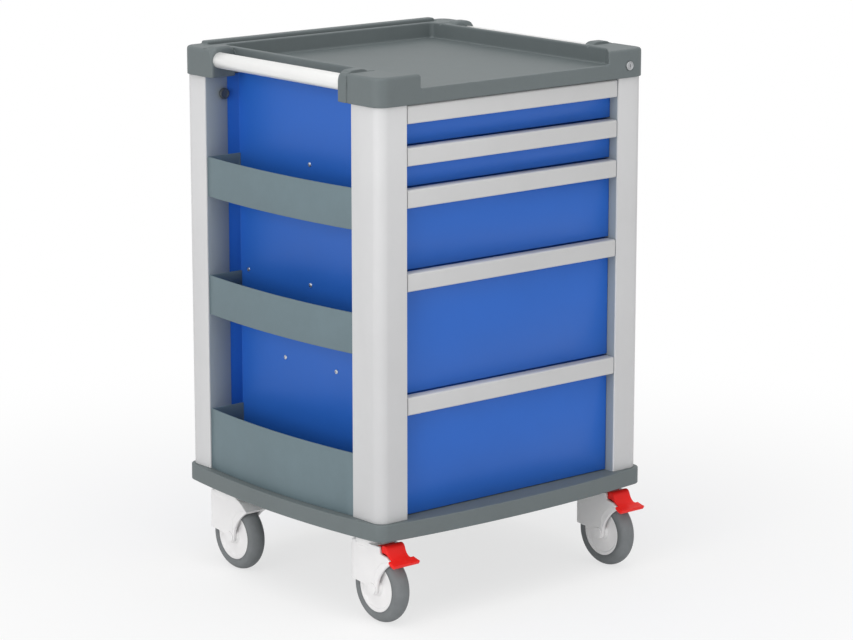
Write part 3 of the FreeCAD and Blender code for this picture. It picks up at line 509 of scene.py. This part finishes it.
# ---- operators -----------------------------------------------------------------------------------
class CART_OT_worktop(bpy.types.Operator):
    """Softens the moulded worktop, rounds its hoods and finishes its handle tubes"""

    bl_idname = "cart.worktop"
    bl_label = "Worktop and handles"

    def execute(self, context):
        sizes = context.scene.cart_sizes
        top = node_copy("worktop_moulding", "worktop")
        for cutter in self.cutters():
            cut(top, cutter)
        top = joined([top] + self.hoods(), "worktop_moulding")
        soften(top, sizes.moulding_voxel, 4, TOP_VOXEL_KEPT)
        smooth(top, ROUND)
        seat(top, "worktop")
        finish_node("handle_tubes", 0.0006, 40)
        return {"FINISHED"}

    def ends(self):
        """Y of each hood's open end, with the direction from there into its block."""
        low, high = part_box("handle_tubes")
        return ((low[1] + HOOD_SEAT, -1), (high[1] - HOOD_SEAT, 1))

    def cutters(self):
        """Boxes that clear the sharp hood ends and sink the creases behind the hoods."""
        low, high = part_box("worktop")
        boxes = []
        for y, way in self.ends():
            for side in (-1, 1):
                outer, inner = side * (high[0] + SKIN), side * (high[0] - HOOD_WIDE - 0.0005)
                xs = sorted((outer, inner))
                ys = sorted((y - way * SKIN, y + way * HOOD_CUT))
                boxes.append(block("hood_end_cut", (xs[0], ys[0], low[2] - SKIN),
                                   (xs[1], ys[1], high[2] + SKIN)))
                crease = y + way * HOOD_LONG
                ys = sorted((crease - 0.0004, crease + way * CREASE_WIDE))
                over = sorted((outer, side * (high[0] - CREASE_REACH)))
                boxes.append(block("crease_cut", (over[0], ys[0], high[2] - CREASE_SUNK),
                                   (over[1], ys[1], high[2] + 0.01)))
                if way < 0:
                    down = sorted((outer, side * (high[0] - CREASE_DEEP)))
                    boxes.append(block("crease_cut", (down[0], ys[0], low[2] - SKIN),
                                       (down[1], ys[1], high[2] - 0.007)))
        return boxes

    def hoods(self):
        """Four arched hoods whose open ends are well rounded."""
        low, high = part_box("worktop")
        top = high[2] - 0.001
        inner = high[0] - HOOD_WIDE
        made = []
        for y, way in self.ends():
            ys = sorted((y, y + way * (HOOD_LONG - 0.0004)))
            hood = block("hood", (inner, ys[0], low[2]), (high[0], ys[1], top))
            for x, radius in zip((high[0], inner), HOOD_ARCH):
                choose(hood, "EDGE", lambda at, along: abs(at.x - x) < NEAR and abs(at.z - top) < NEAR)
                bpy.ops.mesh.bevel(offset=radius, segments=10)
            choose(hood, "EDGE", lambda at, along: abs(at.y - y) < NEAR and at.z > low[2] + 1e-4)
            bpy.ops.mesh.bevel(offset=HOOD_LIP, segments=4)
            done_editing()
            made += [copied(hood, "hood_copy", Matrix.Scale(-1, 4, (1, 0, 0))), hood]
        return made


class CART_OT_body(bpy.types.Operator):
    """Finishes the base, columns, panels and bins"""

    bl_idname = "cart.body"
    bl_label = "Base, columns, panels and bins"

    def execute(self, context):
        sizes = context.scene.cart_sizes
        finish_node("base_platform")
        for node in ("front_columns", "rear_columns"):
            finish_node(node, sizes.extrusion_edge)
        for node in ("side_panels", "back_panel"):
            finish_node(node, sizes.sheet_edge)
        for node in BINS:
            finish_node(node, sizes.bin_edge)
        self.painted_shade_strips()
        finish_node("lock_housing", 0.0008)
        finish_node("lock_barrel", 0.0003)
        finish_node("lock_bar", 0.0003)
        return {"FINISHED"}

    def painted_shade_strips(self):
        """Thin grey strips of painted shade on the faces of the columns that look at the drawers and the side
        bays, where shade falls in the recesses.
        """
        low, high = map(Vector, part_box("front_columns"))
        rear_low, rear_high = map(Vector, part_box("rear_columns"))
        tray_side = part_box("drawer_1_front")[1][0] + TRAY_CLEAR
        bay_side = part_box("back_panel")[1][0]
        for side, name in ((-1, "left"), (1, "right")):
            xs = sorted((side * tray_side, side * (tray_side - SHADE_STRIP_THICK)))
            front = block(f"front_column_painted_shade_{name}", (xs[0], low.y + 0.003, low.z),
                          (xs[1], high.y - SHADE_STRIP_EDGE, high.z))
            xs = sorted((side * bay_side, side * (rear_high.x - 0.002)))
            rear = block(f"rear_column_painted_shade_{name}", (xs[0], rear_low.y - SHADE_STRIP_THICK, rear_low.z),
                         (xs[1], rear_low.y, rear_high.z))
            for strip in (front, rear):
                choose(strip, "EDGE", lambda at, along: abs(along.z) > 0.1)
                bpy.ops.mesh.bevel(offset=SHADE_STRIP_THICK * 0.4, segments=2)
                done_editing()
                smooth(strip)
                paint(strip, "painted_column_shade")
                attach(strip, "frame")


class CART_OT_hardware(bpy.types.Operator):
    """Models the pan-head screws of the side panels and the knob on the rear column"""

    bl_idname = "cart.hardware"
    bl_label = "Screws and knob"

    def execute(self, context):
        sizes = context.scene.cart_sizes
        self.screws(sizes.screw_radius, sizes.screw_height)
        self.knob()
        return {"FINISHED"}

    def screws(self, radius, height):
        """A domed head with a cross slot, copied to each screw's place."""
        head = added("cylinder", "screw_head", vertices=32, radius=radius, depth=height * 0.4,
                     location=(0, 0, height * 0.2))
        for rise, shrink in ((0.28, 0.90), (0.20, 0.76), (0.10, 0.55)):
            top = max(v.co.z for v in head.data.vertices)
            choose(head, "FACE", lambda at, normal: normal.z > 0.9 and at.z > top - 1e-6)
            bpy.ops.mesh.extrude_region_move(TRANSFORM_OT_translate={"value": (0, 0, height * rise)})
            bpy.ops.transform.resize(value=(shrink, shrink, 1), center_override=(0, 0, top))
        done_editing()
        arm, wide = radius * 0.5, radius * 0.11
        for across, along in ((arm, wide), (wide, arm)):
            cut(head, block("slot", (-across, -along, height * SLOT_DEPTH), (across, along, height * 1.5)))
        seat_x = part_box("panel_screws")[1][0] - height
        copies = []
        for place in islands("panel_screws"):
            side = 1 if place.x > 0 else -1
            turn = Matrix.Rotation(side * math.pi / 2, 4, "Y") @ Matrix.Rotation(place.y * SCREW_TURN, 4, "Z")
            place = Matrix.Translation((seat_x * side, place.y, place.z))
            copies.append(copied(head, "panel_screw", place @ turn))
        bpy.data.objects.remove(head)
        heads = joined(copies, "panel_screw_heads")
        smooth(heads)
        seat(heads, "panel_screws")

    def knob(self):
        """A waisted cap with a dished face, drawn forward from its neck."""
        low, high = map(Vector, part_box("column_knob"))
        middle = (low + high) / 2
        radius, deep = (high.x - low.x) / 2, high.y - low.y
        knob = added("cylinder", "column_knob_cap", vertices=48, radius=radius * 0.62, depth=deep * 0.35,
                     location=(middle.x, high.y - deep * 0.175, middle.z), rotation=(math.pi / 2, 0, 0))
        for out, forward in ((1 / 0.62, 0.0), (1.0, 0.50), (0.92, 0.08), (0.80, 0.05)):
            near = min(v.co.y for v in knob.data.vertices)
            choose(knob, "FACE", lambda at, normal: normal.y < -0.9 and at.y < near + 1e-6)
            bpy.ops.mesh.extrude_region_move(TRANSFORM_OT_translate={"value": (0, -deep * forward, 0)})
            bpy.ops.transform.resize(value=(out, 1, out), center_override=(middle.x, near, middle.z))
        for inset, back in ((0.0016, 0.0008), (0.0010, 0.0)):
            bpy.ops.mesh.inset(thickness=inset)
            bpy.ops.transform.translate(value=(0, back, 0))
        done_editing()
        add_modifier(knob, "BEVEL", width=0.0004, segments=2, limit_method="ANGLE", angle_limit=SHARP)
        smooth(knob)
        seat(knob, "column_knob")


class CART_OT_drawers(bpy.types.Operator):
    """Finishes the drawers and their slides"""

    bl_idname = "cart.drawers"
    bl_label = "Drawers"

    def execute(self, context):
        sizes = context.scene.cart_sizes
        for number in DRAWERS:
            finish_node(f"drawer_{number}_rail", sizes.extrusion_edge)
            finish_node(f"drawer_{number}_front", sizes.sheet_edge)
            finish_node(f"drawer_{number}_tray", sizes.sheet_edge)
            finish_node(f"drawer_{number}_slide_inner", 0.0002)
            finish_node(f"drawer_{number}_slide_middle", 0.0002)
        finish_node("slide_outer_members", 0.0002)
        return {"FINISHED"}


class CART_OT_castors(bpy.types.Operator):
    """Softens the castor housings and pedals and finishes the wheels"""

    bl_idname = "cart.castors"
    bl_label = "Castors"

    def execute(self, context):
        sizes = context.scene.cart_sizes
        finish_node("castor_mounts", 0.0004)
        for corner in CORNERS:
            node = f"castor_{corner}_fork"
            fork = node_copy(f"castor_{corner}_housing", node)
            soften(fork, sizes.castor_voxel, 4)
            smooth(fork, ROUND)
            seat(fork, node)
            self.ridges(corner)
            finish_node(f"castor_{corner}_axle", 0.0004)
            finish_node(f"castor_{corner}_rim", 0.0006)
            finish_node(f"castor_{corner}_tyre", 0.0, 50)
        for side in ("left", "right"):
            node = f"brake_pedal_{side}"
            pedal = node_copy(f"brake_{side}_moulding", node)
            soften(pedal, sizes.castor_voxel * 0.8, 4)
            smooth(pedal, ROUND)
            seat(pedal, node)
        return {"FINISHED"}

    def ridges(self, corner):
        """A fine raised line on each cheek of a fork, along its swept front edge."""
        wheel_low, wheel_high = map(Vector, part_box(f"castor_{corner}_tyre"))
        axle = (wheel_low + wheel_high) / 2
        axle_low, axle_high = map(Vector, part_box(f"castor_{corner}_axle"))
        half = (axle_high.x - axle_low.x) / 2 - 0.002
        cheeks = []
        for side in (-1, 1):
            curve = bpy.data.curves.new("ridge_line", "CURVE")
            curve.dimensions = "3D"
            spline = curve.splines.new("NURBS")
            spline.points.add(len(RIDGE) - 1)
            for point, (ahead, up) in zip(spline.points, RIDGE):
                point.co = (axle.x + side * half, axle.y - ahead, axle.z + up, 1.0)
            spline.order_u = 4
            spline.use_endpoint_u = True
            curve.bevel_depth = RIDGE_RADIUS
            curve.bevel_resolution = 3
            curve.use_fill_caps = True
            line = bpy.data.objects.new("ridge_line", curve)
            bpy.context.scene.collection.objects.link(line)
            pick_object(line)
            bpy.ops.object.convert(target="MESH")
            cheeks.append(bpy.context.object)
        ridge = joined(cheeks, f"castor_{corner}_ridge")
        smooth(ridge, ROUND)
        paint(ridge, "castor_plastic")
        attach(ridge, BODY_OF_NODE[f"castor_{corner}_fork"])


class CART_OT_stage(bpy.types.Operator):
    """Sets up the floor, the soft lamps, the world and the camera"""

    bl_idname = "cart.stage"
    bl_label = "Studio"

    def execute(self, context):
        studio = context.scene.cart_studio
        self.floor(studio)
        self.world(context.scene)
        for name, energy, size, place in LAMPS:
            self.lamp(name, energy, size, Vector(place))
        self.camera(context.scene, studio)
        context.scene.view_settings.view_transform = "Standard"
        return {"FINISHED"}

    def floor(self, studio):
        deselect_all()
        bpy.ops.mesh.primitive_plane_add(size=80.0, location=(0, 0, 0))
        floor = bpy.context.object
        floor.name = "studio_floor"
        f = Finish("studio_floor", Roughness=0.95, Specular_IOR_Level=0.0, Base_Color=(*studio.floor, 1.0))
        ray = f.node("ShaderNodeLightPath", output="Is Camera Ray")
        glossy = f.node("ShaderNodeLightPath", output="Is Glossy Ray")
        clear = f.node("ShaderNodeLightPath", output="Is Transmission Ray")
        white = f.node("ShaderNodeEmission", None, {"Color": (1, 1, 1, 1), "Strength": 1.0})
        seen = ray.maths("MAXIMUM", ray.maths("MAXIMUM", ray, glossy), clear)
        surface = Value(f, f.shader.outputs["BSDF"])
        away = f.node("ShaderNodeVectorMath", {"operation": "LENGTH"}, {0: f.place}, "Value")
        fade = f.node("ShaderNodeMapRange", {"interpolation_type": "SMOOTHSTEP"},
                      {"Value": away, "From Min": 0.4, "From Max": 1.7, "To Min": 0.68, "To Max": 1.0})
        mixed = f.node("ShaderNodeMixShader", None, {0: seen * fade, 1: surface, 2: white})
        f.join(mixed, f.tree.nodes["Material Output"].inputs["Surface"])
        floor.data.materials.append(f.material)

    def world(self, scene):
        world = bpy.data.worlds.new("studio_light")
        world.use_nodes = True
        scene.world = world
        tree = world.node_tree
        back = tree.nodes["Background"]
        path = tree.nodes.new("ShaderNodeLightPath")
        seen = tree.nodes.new("ShaderNodeMath")
        seen.operation = "MAXIMUM"
        tree.links.new(path.outputs["Is Camera Ray"], seen.inputs[0])
        tree.links.new(path.outputs["Is Glossy Ray"], seen.inputs[1])
        level = tree.nodes.new("ShaderNodeMapRange")
        tree.links.new(seen.outputs[0], level.inputs["Value"])
        level.inputs["To Min"].default_value = ROOM_LIGHT
        level.inputs["To Max"].default_value = 1.0
        tree.links.new(level.outputs[0], back.inputs["Strength"])
        back.inputs["Color"].default_value = (1, 1, 1, 1)

    def lamp(self, name, energy, size, place):
        bpy.ops.object.light_add(type="AREA", location=place)
        lamp = bpy.context.object
        lamp.name = name
        lamp.data.energy = energy
        lamp.data.shape = "SQUARE"
        lamp.data.size = size
        lamp.rotation_euler = (LAMP_AIM - place).to_track_quat("-Z", "Y").to_euler()

    def camera(self, scene, studio):
        data = bpy.data.cameras.new("studio_camera")
        camera = bpy.data.objects.new("studio_camera", data)
        scene.collection.objects.link(camera)
        data.lens = studio.lens
        data.sensor_width = 36.0
        camera.location = studio.camera_place
        camera.rotation_euler = Euler((math.pi / 2 - studio.camera_pitch, 0.0, -studio.camera_yaw))
        scene.camera = camera


OPERATORS = (CART_OT_worktop, CART_OT_body, CART_OT_hardware, CART_OT_drawers, CART_OT_castors, CART_OT_stage)


class CART_PT_panel(bpy.types.Panel):
    """Lists the cart's pieces in the sidebar"""

    bl_label = "Ward Cart"
    bl_idname = "CART_PT_panel"
    bl_space_type = "VIEW_3D"
    bl_region_type = "UI"
    bl_category = "Ward Cart"

    def draw(self, context):
        for group in (context.scene.cart_sizes, context.scene.cart_colours, context.scene.cart_studio):
            box = self.layout.box()
            for key in group.__annotations__:
                box.prop(group, key)
        for operator in OPERATORS:
            self.layout.operator(operator.bl_idname)


GROUPS = {"cart_colours": CartColours, "cart_sizes": CartSizes, "cart_studio": StudioSettings}


def register():
    for cls in (*GROUPS.values(), *OPERATORS, CART_PT_panel):
        bpy.utils.register_class(cls)
    for key, cls in GROUPS.items():
        setattr(bpy.types.Scene, key, PointerProperty(type=cls))


def unregister():
    for key in GROUPS:
        delattr(bpy.types.Scene, key)
    for cls in reversed((*GROUPS.values(), *OPERATORS, CART_PT_panel)):
        bpy.utils.unregister_class(cls)


def main():
    register()
    for operator in OPERATORS:
        group, name = operator.bl_idname.split(".")
        getattr(getattr(bpy.ops, group), name)()
    deselect_all()


if __name__ == "__main__":
    main()
